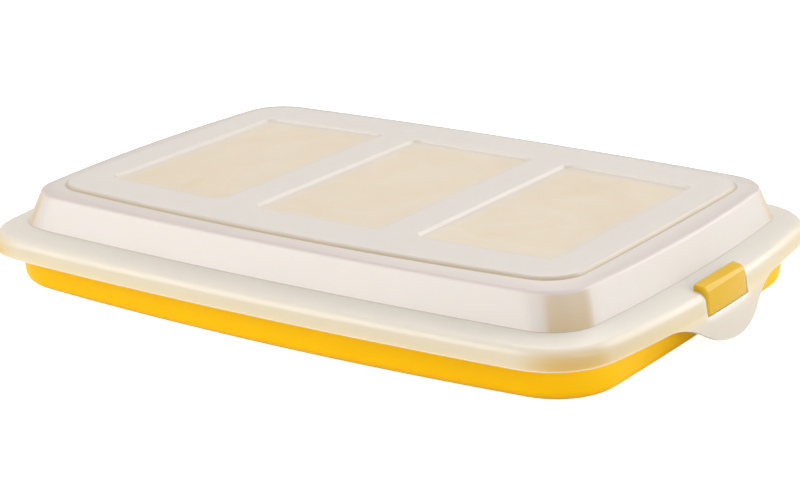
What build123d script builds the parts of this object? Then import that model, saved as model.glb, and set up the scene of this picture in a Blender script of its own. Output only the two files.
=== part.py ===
from build123d import *

import math
import os

# Cold cuts container. The unit is the millimetre, +Z is up, +X runs along the length and the
# origin is the middle of the underside. The sides of every outline bow gently outward.

# Lid: the sheet that it is moulded from, and the skirt round its rim
lid_wall = 1.4
skirt_length = 370.0
skirt_width = 264.0
skirt_corner = 35.0
skirt_side_bow = 6.5
skirt_end_bow = 12.0
skirt_height = 4.9
skirt_draft = 0.8
skirt_round = 5.0
skirt_round_end = 81.0

# Lid: the flange, from the skirt inward and up to the crease at the foot of the dome
crease_height = 32.0
crease_corner = 24.6
crease_side_bow = 5.7
crease_end_bow = 6.0
flange_end_reach = 17.1
flange_side_reach = 17.0
flange_drop = 11.7

# Lid: the dome wall, the ledge on top of it and the raised panel
dome_height = 16.6
dome_slant = 19.0
dome_round = 2.6
dome_round_end = 86.0
ledge_rise = 0.7
panel_end_reach = 15.1
panel_side_reach = 15.0
panel_corner = 14.7
panel_side_bow = 8.0
panel_end_bow = 1.0
panel_rise = 1.7
panel_slope = 1.6

# Lid: the recessed windows in the panel, whose long row bows with the panel
window_count = 3
window_end_margin = 21.3
window_side_margin = 27.5
window_bar = 19.0
window_corner = 5.0
window_row_bow = 4.6
window_depth = 1.8
window_slope = 3.2

# Lid: the rib under the flange that drops into the mouth of the base
rib_wall = 1.3
rib_depth = 5.5
rib_clearance = 0.8

# Lid: the pull tongue under each catch, where the skirt flares outward
tongue_drop = 15.5
tongue_half_span = 56.0
tongue_tip_radius = 54.0
tongue_flare = 6.0

# Base: a tray whose rim follows the underside of the lid's flange
base_wall = 1.8
floor_end_inset = 19.0
floor_side_inset = 18.8
floor_corner = 27.0
floor_side_bow = 9.5
floor_end_bow = 1.5
floor_round = 6.0
base_draft = 7.0
lid_clearance = 0.4
rim_lip_lift = 0.6

# Base: the catch on each end of the rim, which stands through a slot in the lid
catch_width = 41.5
catch_inset = 7.9
catch_sink = 0.4
catch_crown_out = 3.7
catch_crown_drop = 2.0
catch_nose_out = 6.3
catch_nose_drop = 6.2
catch_foot_out = 8.1
catch_foot_drop = 15.9
slot_clearance = 0.8

# Lift-out trays, one under each window
tray_count = 3
tray_gap = 1.0
tray_end_gap = 9.0
tray_side_gap = 11.2
tray_top_drop = 6.9
tray_corner = 16.0
tray_wall = 1.2
tray_rim = 3.0
tray_draft = 7.0
tray_round = 6.0
tray_seat_gap = 0.3

# A round is drawn in flat steps, with fewer of them where it faces inward
round_steps = 3
inner_round_steps = 2
overrun = 5.0

# Sizes that follow from the ones above
skirt_bottom = crease_height - flange_drop
crease_length = skirt_length - 2 * flange_end_reach
crease_width = skirt_width - 2 * flange_side_reach
panel_length = crease_length - 2 * panel_end_reach
panel_width = crease_width - 2 * panel_side_reach
window_row = panel_length - 2 * window_end_margin
window_length = (window_row - (window_count - 1) * window_bar) / window_count
window_width = panel_width - 2 * window_side_margin
window_pitch = window_length + window_bar
floor_length = skirt_length - 2 * floor_end_inset
floor_width = skirt_width - 2 * floor_side_inset
catch_back = skirt_length / 2 - catch_inset
catch_top = crease_height - catch_sink
tray_row = floor_length - 2 * tray_end_gap
tray_length = (tray_row - (tray_count - 1) * tray_gap) / tray_count
tray_width = floor_width - 2 * tray_side_gap
tray_pitch = tray_length + tray_gap
tray_seat = base_wall + tray_seat_gap
tray_height = crease_height - tray_top_drop - tray_seat


class Outline:
    """A rectangle with bowed sides and round corners, centred on the Z axis."""

    def __init__(self, length, width, corner, side_bow=0.0, end_bow=0.0):
        self.length = length
        self.width = width
        self.corner = corner
        self.side_bow = side_bow
        self.end_bow = end_bow

    def inset(self, distance):
        """The same outline with every side moved inward, or outward if negative."""
        return Outline(
            self.length - 2 * distance,
            self.width - 2 * distance,
            max(self.corner - distance, self.corner / 4),
            self.side_bow,
            self.end_bow,
        )

    def face(self, height):
        """The outline as a flat face at a height."""
        x = self.length / 2
        y = self.width / 2
        corner_x = x - self.end_bow
        corner_y = y - self.side_bow
        sides = [
            ((corner_x, -corner_y), (x, 0), (corner_x, corner_y)),
            ((corner_x, corner_y), (0, y), (-corner_x, corner_y)),
            ((-corner_x, corner_y), (-x, 0), (-corner_x, -corner_y)),
            ((-corner_x, -corner_y), (0, -y), (corner_x, -corner_y)),
        ]
        bows = [self.end_bow, self.side_bow, self.end_bow, self.side_bow]
        edges = []
        for (start, middle, end), bow in zip(sides, bows):
            edges.append(ThreePointArc(start, middle, end) if bow > 0 else Line(start, end))
        flat = make_face(edges)
        return Pos(0, 0, height) * fillet(flat.vertices(), self.corner)


def round_levels(outline, height, radius, start, end, steps):
    """Levels along a rounded edge, from one slope of the wall to another.

    The slopes are in degrees: -90 faces down, 0 faces outward and 90 faces up.
    """
    levels = []
    first = math.radians(start)
    for step in range(steps + 1):
        slope = math.radians(start + (end - start) * step / steps)
        inward = radius * (math.cos(first) - math.cos(slope))
        rise = radius * (math.sin(slope) - math.sin(first))
        levels.append((outline.inset(inward), height + rise))
    return levels


def stack(levels):
    """A solid through outlines at their heights, from the bottom up."""
    return loft([outline.face(height) for outline, height in levels], ruled=True)


def inner_levels(levels, thickness, floor=False, roof=False):
    """The levels moved to the inside of a wall of even thickness.

    A floor or a roof is a flat end that is as thick as the wall.
    """
    normals = []
    if floor:
        normals.append((0.0, 1.0))
    for (lower, low), (upper, high) in zip(levels, levels[1:]):
        run = (lower.width - upper.width) / 2
        rise = high - low
        size = math.hypot(run, rise)
        normals.append((rise / size, -run / size))
    if roof:
        normals.append((0.0, -1.0))
    if not floor:
        normals.insert(0, normals[0])
    if not roof:
        normals.append(normals[-1])
    moved = []
    for (outline, height), before, after in zip(levels, normals, normals[1:]):
        inward = before[0] + after[0]
        upward = before[1] + after[1]
        reach = thickness / (1 + before[0] * after[0] + before[1] * after[1])
        moved.append((outline.inset(reach * inward), height + reach * upward))
    return moved


def lid_levels(steps):
    """The outside of the lid, from the tip of the flare up to the edge of the panel."""
    skirt = Outline(skirt_length, skirt_width, skirt_corner, skirt_side_bow, skirt_end_bow)
    crease = Outline(crease_length, crease_width, crease_corner, crease_side_bow, crease_end_bow)
    panel = Outline(panel_length, panel_width, panel_corner, panel_side_bow, panel_end_bow)
    ledge_height = crease_height + dome_height
    slant = math.radians(dome_slant)
    round_rise = dome_round * (math.sin(math.radians(dome_round_end)) - math.sin(slant))
    wall_rise = dome_height - round_rise
    wall_top = crease.inset(wall_rise * math.tan(slant))
    levels = [(skirt.inset(-tongue_flare), skirt_bottom - tongue_drop), (skirt, skirt_bottom)]
    shoulder = skirt.inset(skirt_draft)
    shoulder_height = skirt_bottom + skirt_height
    levels += round_levels(shoulder, shoulder_height, skirt_round, 0.0, skirt_round_end, steps)
    levels.append((crease, crease_height))
    wall_height = crease_height + wall_rise
    levels += round_levels(wall_top, wall_height, dome_round, dome_slant, dome_round_end, steps)
    levels.append((panel, ledge_height + ledge_rise))
    levels.append((panel.inset(panel_slope), ledge_height + ledge_rise + panel_rise))
    return levels


def flange_levels(levels):
    """The levels of the lid from the bottom of the skirt to the foot of the dome."""
    return [level for level in levels if skirt_bottom <= level[1] <= crease_height]


def window_face(index, inset, height):
    """The outline of one window, moved inward, as a flat face at a height."""
    half_row = window_row / 2
    middle = (index - (window_count - 1) / 2) * window_pitch
    left = middle - window_length / 2 + inset
    right = middle + window_length / 2 - inset

    def edge(x):
        return window_width / 2 - inset - window_row_bow * (x / half_row) ** 2

    edges = [
        Line((right, -edge(right)), (right, edge(right))),
        ThreePointArc((right, edge(right)), (middle, edge(middle)), (left, edge(left))),
        Line((left, edge(left)), (left, -edge(left))),
        ThreePointArc((left, -edge(left)), (middle, -edge(middle)), (right, -edge(right))),
    ]
    flat = make_face(edges)
    return Pos(0, 0, height) * fillet(flat.vertices(), window_corner)


def window_recess(index, top, depth, edge_shift):
    """The space that one window takes out of the panel, with its sloping sides."""
    sections = [
        window_face(index, window_slope + edge_shift, top - depth),
        window_face(index, edge_shift, top),
        window_face(index, edge_shift, top + overrun),
    ]
    return loft(sections, ruled=True)


def base_levels(steps):
    """The outside of the base, from the floor up to the height of the lid's crease."""
    floor = Outline(floor_length, floor_width, floor_corner, floor_side_bow, floor_end_bow)
    levels = round_levels(floor, 0.0, floor_round, -90.0, -base_draft, steps)
    foot, foot_height = levels[-1]
    wall_rise = crease_height - foot_height
    top = foot.inset(-wall_rise * math.tan(math.radians(base_draft)))
    levels.append((top, crease_height))
    return levels


def mouth_outline(height):
    """The inside of the base's wall at a height."""
    wall = inner_levels(base_levels(inner_round_steps), base_wall, floor=True)
    foot, foot_height = wall[-2]
    return foot.inset(-(height - foot_height) * math.tan(math.radians(base_draft)))


def tongue_trim():
    """The space below the skirt that is clear of both tongues."""
    depth = tongue_drop
    span = tongue_half_span
    radii = (span**2 + depth**2) / (2 * depth)
    flank_radius = radii - tongue_tip_radius
    slope = math.atan2(radii - depth, span)
    turn_y = tongue_tip_radius * math.cos(slope)
    turn_z = -depth + tongue_tip_radius * (1 - math.sin(slope))
    flank_turn = (math.pi / 2 + slope) / 2
    flank_y = span - flank_radius * math.cos(flank_turn)
    flank_z = -flank_radius * (1 - math.sin(flank_turn))
    side = skirt_width
    low = -2 * depth
    edges = [
        Line((-side, 0), (-span, 0)),
        ThreePointArc((-span, 0), (-flank_y, flank_z), (-turn_y, turn_z)),
        ThreePointArc((-turn_y, turn_z), (0, -depth), (turn_y, turn_z)),
        ThreePointArc((turn_y, turn_z), (flank_y, flank_z), (span, 0)),
        Line((span, 0), (side, 0)),
        Line((side, 0), (side, low)),
        Line((side, low), (-side, low)),
        Line((-side, low), (-side, 0)),
    ]
    plane = Plane(origin=(0, 0, skirt_bottom), x_dir=(0, 1, 0), z_dir=(1, 0, 0))
    return extrude(plane * make_face(edges), amount=skirt_length, both=True)


def catch_block():
    """The catch on the right end of the base, as a solid of even section."""
    rim = inner_levels(flange_levels(lid_levels(inner_round_steps)), lid_wall + lid_clearance)
    lip_x = rim[0][0].length / 2 - base_wall / 2
    seat = rim[-1][1] - base_wall / 2
    crown = (catch_back + catch_crown_out, catch_top - catch_crown_drop)
    nose = (catch_back + catch_nose_out, catch_top - catch_nose_drop)
    foot = (catch_back + catch_foot_out, catch_top - catch_foot_drop)
    edges = [
        ThreePointArc((catch_back, catch_top), crown, nose),
        Line(nose, foot),
        Line(foot, (lip_x, foot[1])),
        Line((lip_x, foot[1]), (lip_x, skirt_bottom + skirt_height)),
        Line((lip_x, skirt_bottom + skirt_height), (catch_back, seat)),
        Line((catch_back, seat), (catch_back, catch_top)),
    ]
    return extrude(Plane.XZ * make_face(edges), amount=catch_width / 2, both=True)


def catch_slot():
    """The space that the right catch needs in the lid."""
    low = catch_top - catch_foot_drop - slot_clearance
    block = Box(
        skirt_length / 2,
        catch_width + 2 * slot_clearance,
        crease_height + overrun - low,
        align=(Align.MIN, Align.CENTER, Align.MIN),
    )
    return Pos(catch_back - slot_clearance, 0, low) * block


def at_both_ends(piece):
    """A piece of the right end and its twin on the left end."""
    return [piece, Rot(0, 0, 180) * piece]


def make_base():
    """The yellow base: a tray, its folded rim and a catch on each end."""
    outside = base_levels(round_steps)
    inside = inner_levels(base_levels(inner_round_steps), base_wall, floor=True)
    flange = flange_levels(lid_levels(inner_round_steps))
    rim_top = inner_levels(flange, lid_wall + lid_clearance)
    rim_under = inner_levels(flange, lid_wall + lid_clearance + base_wall)
    lip_height = skirt_bottom + rim_lip_lift
    lean = skirt_draft / skirt_height
    lip = rim_top[0][0].inset((lip_height - rim_top[0][1]) * lean)
    rim_top[0] = (lip, lip_height)
    rim_under[0] = (rim_under[0][0], lip_height - overrun)
    rim = stack(rim_top) - stack(rim_under)
    below_rim = stack([(lip, -overrun)] + rim_top)
    mouth, mouth_height = inside[-1]
    hollow = stack(inside[:-1] + [(mouth, mouth_height), (mouth, mouth_height + overrun)])
    body = stack(outside) & below_rim
    body = body + rim
    for catch in at_both_ends(catch_block()):
        body = body + catch
    return body - hollow


def make_lid():
    """The translucent lid: one moulded sheet from the panel down to the tongues."""
    outside = lid_levels(round_steps)
    inside = inner_levels(lid_levels(inner_round_steps), lid_wall, roof=True)
    tip, tip_height = inside[0]
    top = outside[-1][1]
    solid = stack(outside)
    hollow = stack([(tip, tip_height - overrun)] + inside)
    slope = math.hypot(window_slope, window_depth)
    under_shift = -lid_wall * (slope - window_slope) / window_depth
    for index in range(window_count):
        solid = solid - window_recess(index, top, window_depth, 0.0)
        hollow = hollow - window_recess(index, top - lid_wall, window_depth, under_shift)
    rib_bottom = crease_height - rib_depth
    rib_outline = mouth_outline(rib_bottom).inset(rib_clearance)
    rib = extrude(rib_outline.face(rib_bottom), rib_depth)
    rib = rib - extrude(rib_outline.inset(rib_wall).face(rib_bottom), rib_depth)
    lid = solid - hollow
    lid = lid + (rib & solid)
    lid = lid - tongue_trim()
    for slot in at_both_ends(catch_slot()):
        lid = lid - slot
    return lid


def drafted(level, rise, draft):
    """A solid that widens evenly from one level upward."""
    outline, height = level
    return extrude(outline.face(height), rise, taper=-draft)


def make_tray(index):
    """One lift-out tray, standing on the floor of the base."""
    rim = Outline(tray_length, tray_width, tray_corner)
    round_rise = tray_round * (1 - math.sin(math.radians(tray_draft)))
    wall_rise = tray_height - round_rise
    foot = rim.inset(tray_rim + wall_rise * math.tan(math.radians(tray_draft)))
    floor = foot.inset(tray_round * math.cos(math.radians(tray_draft)))
    outside = round_levels(floor, 0.0, tray_round, -90.0, -tray_draft, inner_round_steps)
    outside.append((rim.inset(tray_rim), tray_height))
    inside = inner_levels(outside, tray_wall, floor=True)
    hollow = stack(inside[:-1]) + drafted(inside[-2], tray_height, tray_draft)
    tray = stack(outside[:-1]) + drafted(outside[-2], wall_rise, tray_draft)
    tray = tray + extrude(rim.face(tray_height - tray_wall), tray_wall)
    middle = (index - (tray_count - 1) / 2) * tray_pitch
    return Pos(middle, 0, tray_seat) * (tray - hollow)


os.makedirs("parts", exist_ok=True)
export_step(make_base(), "parts/base.step")
export_step(make_lid(), "parts/lid.step")
for tray_index, tray_name in enumerate(["left_tray", "middle_tray", "right_tray"]):
    export_step(make_tray(tray_index), f"parts/{tray_name}.step")
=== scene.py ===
"""Looks of a cold cuts container: a yellow base, a milky lid and three lift-out trays.

Sizes are in millimetres until a mesh is made, and every mesh is in metres in the CAD frame.
"""

import logging
import math
from dataclasses import dataclass, field, replace
from enum import Enum

import bmesh
import bpy
import numpy as np
from bmesh.types import BMEdge, BMesh, BMVert
from bpy.types import Material, Node, NodeSocket, NodeTree, Object
from mathutils import Matrix, Vector


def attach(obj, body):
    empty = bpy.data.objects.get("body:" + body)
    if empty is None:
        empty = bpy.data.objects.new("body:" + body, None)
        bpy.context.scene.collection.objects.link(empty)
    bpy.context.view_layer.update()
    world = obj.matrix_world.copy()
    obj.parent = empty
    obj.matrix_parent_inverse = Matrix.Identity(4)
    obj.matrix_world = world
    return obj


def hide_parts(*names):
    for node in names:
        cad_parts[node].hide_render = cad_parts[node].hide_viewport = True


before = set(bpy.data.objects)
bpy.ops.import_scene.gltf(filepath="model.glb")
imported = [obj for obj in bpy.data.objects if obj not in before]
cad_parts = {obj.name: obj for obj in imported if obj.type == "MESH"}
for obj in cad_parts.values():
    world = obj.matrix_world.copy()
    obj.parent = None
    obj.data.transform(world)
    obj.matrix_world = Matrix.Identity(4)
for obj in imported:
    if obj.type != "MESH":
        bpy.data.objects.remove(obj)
log = logging.getLogger("cold_cuts_container")

MM = 0.001
# The photograph's width in pixels and the camera sensor's in millimetres
PHOTO_WIDTH = 800.0
SENSOR_WIDTH = 36.0
# The least share of its radius that a corner keeps when its outline is moved inward
LEAST_CORNER = 0.25
# How often the middle of a corner is fitted between the two bowed sides
CORNER_FITS = 30
# Places closer than this, in millimetres, count as the same
NEAR = 0.01
# Vertices closer than this, in millimetres, are merged
WELD = 0.001
# How far the edges of a slot and of a tongue lie from the middle of an end, in millimetres
SLOT_EDGE = 21.15
TONGUE_EDGE = 56.0
# The material slot of the catches and the lid's windows, whose finishes differ in gloss and carry
# painted shade
POLISHED_SLOT = 1
# The turn between faces, in degrees, that still shades smooth
SMOOTH_TURN = 40.0


# Outlines and walls


@dataclass(frozen=True)
class Stations:
    """Where a ring is divided, so that every ring has the same points in the same order.

    The fixed stations lie at these distances from the middle of an end or a side, and the
    tails run evenly from the last of them to the corner.
    """

    end: tuple[float, ...]
    side: tuple[float, ...]
    tail: int = 6
    corner: int = 12


@dataclass(frozen=True)
class Outline:
    """A rectangle with bowed sides and round corners, centred on the Z axis."""

    length: float
    width: float
    corner: float
    side_bow: float
    end_bow: float

    def inset(self, distance: float) -> "Outline":
        """The same outline with every side moved inward, or outward if negative.

        Args:
            distance: how far the sides move.

        Returns:
            The new outline.
        """
        return replace(
            self,
            length=self.length - 2 * distance,
            width=self.width - 2 * distance,
            corner=max(self.corner - distance, self.corner * LEAST_CORNER),
        )

    def quarter(self, stations: Stations) -> np.ndarray:
        """The outline's points from the middle of the right end to the middle of the back.

        Args:
            stations: how the ring is divided.

        Returns:
            The points, one row each.
        """
        half_x, half_y = self.length / 2, self.width / 2
        end_radius = bow_radius(half_y - self.side_bow, self.end_bow)
        side_radius = bow_radius(half_x - self.end_bow, self.side_bow)
        end_x, side_y = half_x - end_radius, half_y - side_radius
        mid_x, mid_y = half_x - self.corner, half_y - self.corner
        for _ in range(CORNER_FITS):
            mid_x = end_x + math.sqrt((end_radius - self.corner) ** 2 - mid_y**2)
            mid_y = side_y + math.sqrt((side_radius - self.corner) ** 2 - mid_x**2)
        start = math.atan2(mid_y, mid_x - end_x)
        stop = math.atan2(mid_y - side_y, mid_x)
        start_y = end_radius * math.sin(start)
        stop_x = side_radius * math.cos(stop)
        ys = np.append(stations.end, np.linspace(stations.end[-1], start_y, stations.tail + 1)[1:])
        xs = np.append(stations.side, np.linspace(stations.side[-1], stop_x, stations.tail + 1)[1:])
        end = np.stack([end_x + np.sqrt(end_radius**2 - ys**2), ys], 1)
        side = np.stack([xs, side_y + np.sqrt(side_radius**2 - xs**2)], 1)[::-1]
        turn = np.linspace(start, stop, stations.corner + 1)[1:-1]
        arc = np.stack([np.cos(turn), np.sin(turn)], 1) * self.corner + (mid_x, mid_y)
        return np.vstack([end, arc, side])

    def ring(self, stations: Stations, height: float) -> np.ndarray:
        """The whole outline as a closed ring of points at a height.

        Args:
            stations: how the ring is divided.
            height: the height of the ring.

        Returns:
            The points in order, anticlockwise from above.
        """
        quarter = self.quarter(stations)
        half = np.vstack([quarter, (quarter * (-1, 1))[-2::-1]])
        whole = np.vstack([half, (half * (1, -1))[-2:0:-1]])
        return np.column_stack([whole, np.full(len(whole), height)])


@dataclass(frozen=True)
class Level:
    """One outline of a moulded wall at its height, and how far its edge is softened."""

    outline: Outline
    height: float
    soft: float = 0.0


@dataclass
class Ring:
    """A row of points round a wall, and how far the edge there is softened."""

    points: np.ndarray
    soft: float = 0.0


def bow_radius(half_chord: float, bow: float) -> float:
    """The radius of a side that bows outward by this much over twice the half chord."""
    return (half_chord**2 + bow**2) / (2 * bow)


def round_levels(
    outline: Outline, height: float, radius: float, start: float, end: float, steps: int
) -> list[Level]:
    """Levels along a rounded edge, from one slope of the wall to another.

    Args:
        outline: the outline where the round starts.
        height: the height where it starts.
        radius: the radius of the round.
        start: the first slope in degrees: -90 faces down, 0 outward and 90 up.
        end: the last slope in degrees.
        steps: how many steps the round takes.

    Returns:
        The levels, from the first slope to the last.
    """
    first = math.radians(start)
    levels = []
    for slope in np.radians(np.linspace(start, end, steps + 1)):
        inward = radius * (math.cos(first) - math.cos(slope))
        rise = radius * (math.sin(slope) - math.sin(first))
        levels.append(Level(outline.inset(inward), height + rise))
    return levels


def inner_levels(levels: list[Level], thickness: float, floor: bool = False) -> list[Level]:
    """The levels moved to the inside of a wall of even thickness.

    Args:
        levels: the outside of the wall, from the bottom up.
        thickness: how thick the wall is.
        floor: whether the first level is the edge of a floor as thick as the wall.

    Returns:
        The levels of the inside.
    """
    normals = []
    for lower, upper in zip(levels, levels[1:]):
        run = (lower.outline.width - upper.outline.width) / 2
        rise = upper.height - lower.height
        size = math.hypot(run, rise)
        normals.append((rise / size, -run / size))
    normals.insert(0, (0.0, 1.0) if floor else normals[0])
    normals.append(normals[-1])
    moved = []
    for level, before, after in zip(levels, normals, normals[1:]):
        reach = thickness / (1 + before[0] * after[0] + before[1] * after[1])
        outline = level.outline.inset(reach * (before[0] + after[0]))
        moved.append(Level(outline, level.height + reach * (before[1] + after[1]), level.soft))
    return moved


def rings_of(levels: list[Level], stations: Stations) -> list[Ring]:
    """The levels as rings of points."""
    return [Ring(level.outline.ring(stations, level.height), level.soft) for level in levels]


def softened(rings: list[Ring], steps: int = 3) -> list[np.ndarray]:
    """The rings with each soft edge drawn as a small curve.

    Args:
        rings: the rings in order along the wall.
        steps: how many steps each curve takes.

    Returns:
        The rows of points, with one row for a hard ring and more for a soft one.
    """
    rows = []
    for index, ring in enumerate(rings):
        if ring.soft == 0 or index in (0, len(rings) - 1):
            rows.append(ring.points)
            continue
        arms = []
        for other in (rings[index - 1], rings[index + 1]):
            arm = other.points - ring.points
            arms.append(arm / np.linalg.norm(arm, axis=1, keepdims=True) * ring.soft)
        for share in np.linspace(0, 1, steps + 1):
            rows.append(ring.points + (1 - share) ** 2 * arms[0] + share**2 * arms[1])
    return rows


# Meshes


def add_rows(mesh: BMesh, rows: list[np.ndarray]) -> list[list[BMVert]]:
    """Adds rows of points to a mesh, in metres, and returns their vertices."""
    return [[mesh.verts.new(Vector(point) * MM) for point in row] for row in rows]


def add_band(
    mesh: BMesh, lower: list[BMVert], upper: list[BMVert], gaps: frozenset[int] = frozenset()
) -> None:
    """Joins two closed rows of vertices with a band of faces.

    Args:
        mesh: the mesh that holds the vertices.
        lower: the row whose faces' outside is on its right, seen along the row.
        upper: the row above it.
        gaps: the places in the row where no face is made.
    """
    count = len(lower)
    for place in range(count):
        if place not in gaps:
            after = (place + 1) % count
            mesh.faces.new((lower[place], lower[after], upper[after], upper[place]))


def row_edges(mesh: BMesh, row: list[BMVert]) -> list[BMEdge]:
    """The edges of a closed row of vertices, made where they are missing.

    Args:
        mesh: the mesh that holds the vertices.
        row: the vertices, in order.

    Returns:
        The edges, from each vertex to the next.
    """
    edges = []
    for start, end in zip(row, row[1:] + row[:1]):
        edges.append(mesh.edges.get((start, end)) or mesh.edges.new((start, end)))
    return edges


def finish_object(name: str, mesh: BMesh, *materials: Material) -> Object:
    """Turns a mesh under construction into an object that wears its materials.

    Args:
        name: the name of the piece.
        mesh: the mesh, which is freed.
        materials: the finishes of the piece, in the order of its material slots.

    Returns:
        The object, at the origin.
    """
    data = bpy.data.meshes.new(name)
    mesh.to_mesh(data)
    mesh.free()
    for material in materials:
        data.materials.append(material)
    piece = bpy.data.objects.new(name, data)
    bpy.context.scene.collection.objects.link(piece)
    return piece


def bake_modifiers(piece: Object) -> None:
    """Turns a piece with its modifiers into a plain mesh.

    Args:
        piece: the piece, whose modifiers are applied and removed.
    """
    graph = bpy.context.evaluated_depsgraph_get()
    graph.update()
    plain = bpy.data.meshes.new_from_object(piece.evaluated_get(graph))
    plain.name = piece.name
    piece.modifiers.clear()
    piece.data = plain


def shade(piece: Object, sharp_degrees: float) -> None:
    """Shades a piece smooth, with creases where its faces turn by more than an angle.

    Args:
        piece: the piece.
        sharp_degrees: the angle in degrees.
    """
    for face in piece.data.polygons:
        face.use_smooth = True
    piece.data.set_sharp_from_angle(angle=math.radians(sharp_degrees))


def add_bevel(piece: Object, width: float, segments: int, degrees: float) -> None:
    """Rounds the sharp edges of a piece.

    Args:
        piece: the piece.
        width: the width of the round in millimetres.
        segments: how many steps the round takes.
        degrees: the smallest angle between faces that is rounded.
    """
    bevel = piece.modifiers.new("soft_edges", "BEVEL")
    bevel.width = width * MM
    bevel.segments = segments
    bevel.limit_method = "ANGLE"
    bevel.angle_limit = math.radians(degrees)
    bevel.use_clamp_overlap = True


# Finishes


class NodeBench:
    """Places and joins the nodes of one tree."""

    def __init__(self, tree: NodeTree) -> None:
        """Empties the tree and keeps it."""
        tree.nodes.clear()
        self.tree = tree

    def add(
        self, kind: str, feeds: dict[str | int, object] | None = None, **settings: object
    ) -> Node:
        """Adds a node.

        Args:
            kind: the node's type name.
            feeds: what its inputs are fed, by their names or places.
            settings: its properties, by name.

        Returns:
            The node.
        """
        node = self.tree.nodes.new(kind)
        for key, value in settings.items():
            setattr(node, key, value)
        for key, value in (feeds or {}).items():
            self.feed(value, node.inputs[key])
        return node

    def feed(self, value: object, target: NodeSocket) -> None:
        """Gives an input a value, or joins it to the output that is given.

        Args:
            value: a number, a tuple of numbers or the output of another node.
            target: the input.
        """
        if isinstance(value, NodeSocket):
            self.tree.links.new(value, target)
        else:
            target.default_value = value

    def math(self, operation: str, *values: object) -> NodeSocket:
        """Adds a Math node, fed with numbers or outputs, and returns its result."""
        return self.add("ShaderNodeMath", dict(enumerate(values)), operation=operation).outputs[0]

    def blend(self, share: NodeSocket, first: object, second: object) -> NodeSocket:
        """Adds a mix of two colours and returns its output.

        Args:
            share: how much of the second colour shows.
            first: the first colour, or the output that gives it.
            second: the second colour, or the output that gives it.

        Returns:
            The mixed colour.
        """
        feeds = {"Factor": share, "A": first, "B": second}
        for name in "AB":
            if isinstance(feeds[name], tuple):
                feeds[name] += (1.0,)
        return self.add("ShaderNodeMix", feeds, data_type="RGBA").outputs["Result"]

    def shader(self, feeds: dict[str, object]) -> None:
        """Adds the shader of a material, fed as given, and joins it to the output."""
        shader = self.add("ShaderNodeBsdfPrincipled", feeds)
        self.add("ShaderNodeOutputMaterial", {"Surface": shader.outputs["BSDF"]})


class MouldedSurface:
    """A shader node group: the slow drift and fine grain that moulding leaves on plastic."""

    NAME = "moulded_surface"
    INPUTS = {"Drift Scale": 9.0, "Grain Scale": 1400.0, "Flow": 2.5}

    @classmethod
    def group(cls) -> NodeTree:
        """The node group, made on its first use."""
        found = bpy.data.node_groups.get(cls.NAME)
        return found or cls.build()

    @classmethod
    def build(cls) -> NodeTree:
        """Makes the node group.

        Returns:
            The group, with inputs for its sizes and outputs for drift, grain and wear.
        """
        tree = bpy.data.node_groups.new(cls.NAME, "ShaderNodeTree")
        for name, value in cls.INPUTS.items():
            socket = tree.interface.new_socket(name, in_out="INPUT", socket_type="NodeSocketFloat")
            socket.default_value = value
        for name in ("Drift", "Grain", "Scuffs"):
            tree.interface.new_socket(name, in_out="OUTPUT", socket_type="NodeSocketFloat")
        bench = NodeBench(tree)
        given = bench.add("NodeGroupInput").outputs
        place = bench.add("ShaderNodeTexCoord").outputs["Object"]
        stretch = bench.add("ShaderNodeMapping", {"Vector": place, "Scale": (1.0, 1.0, 3.0)})
        noises = {
            "drift": {
                "Vector": stretch.outputs["Vector"],
                "Scale": given["Drift Scale"],
                "Distortion": given["Flow"],
                "Detail": 2.0,
            },
            "grain": {"Vector": place, "Scale": given["Grain Scale"], "Detail": 3.0},
            "scratches": {"Vector": place, "Scale": 260.0, "Detail": 4.0},
        }
        made = {}
        for name, feeds in noises.items():
            made[name] = bench.add("ShaderNodeTexNoise", feeds).outputs["Fac"]
        deep = {"Value": made["scratches"], "From Min": 0.56, "From Max": 0.74}
        scuffs = bench.add("ShaderNodeMapRange", deep).outputs["Result"]
        results = {"Drift": made["drift"], "Grain": made["grain"], "Scuffs": scuffs}
        bench.add("NodeGroupOutput", results)
        return tree


@dataclass(frozen=True)
class Tint:
    """The colours, at the ends of the drift, that a moulding takes where a mask is 1; on the lid
    most are painted light and shade.
    """

    mask: str
    colour: tuple[float, float, float]
    drift_colour: tuple[float, float, float]


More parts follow.
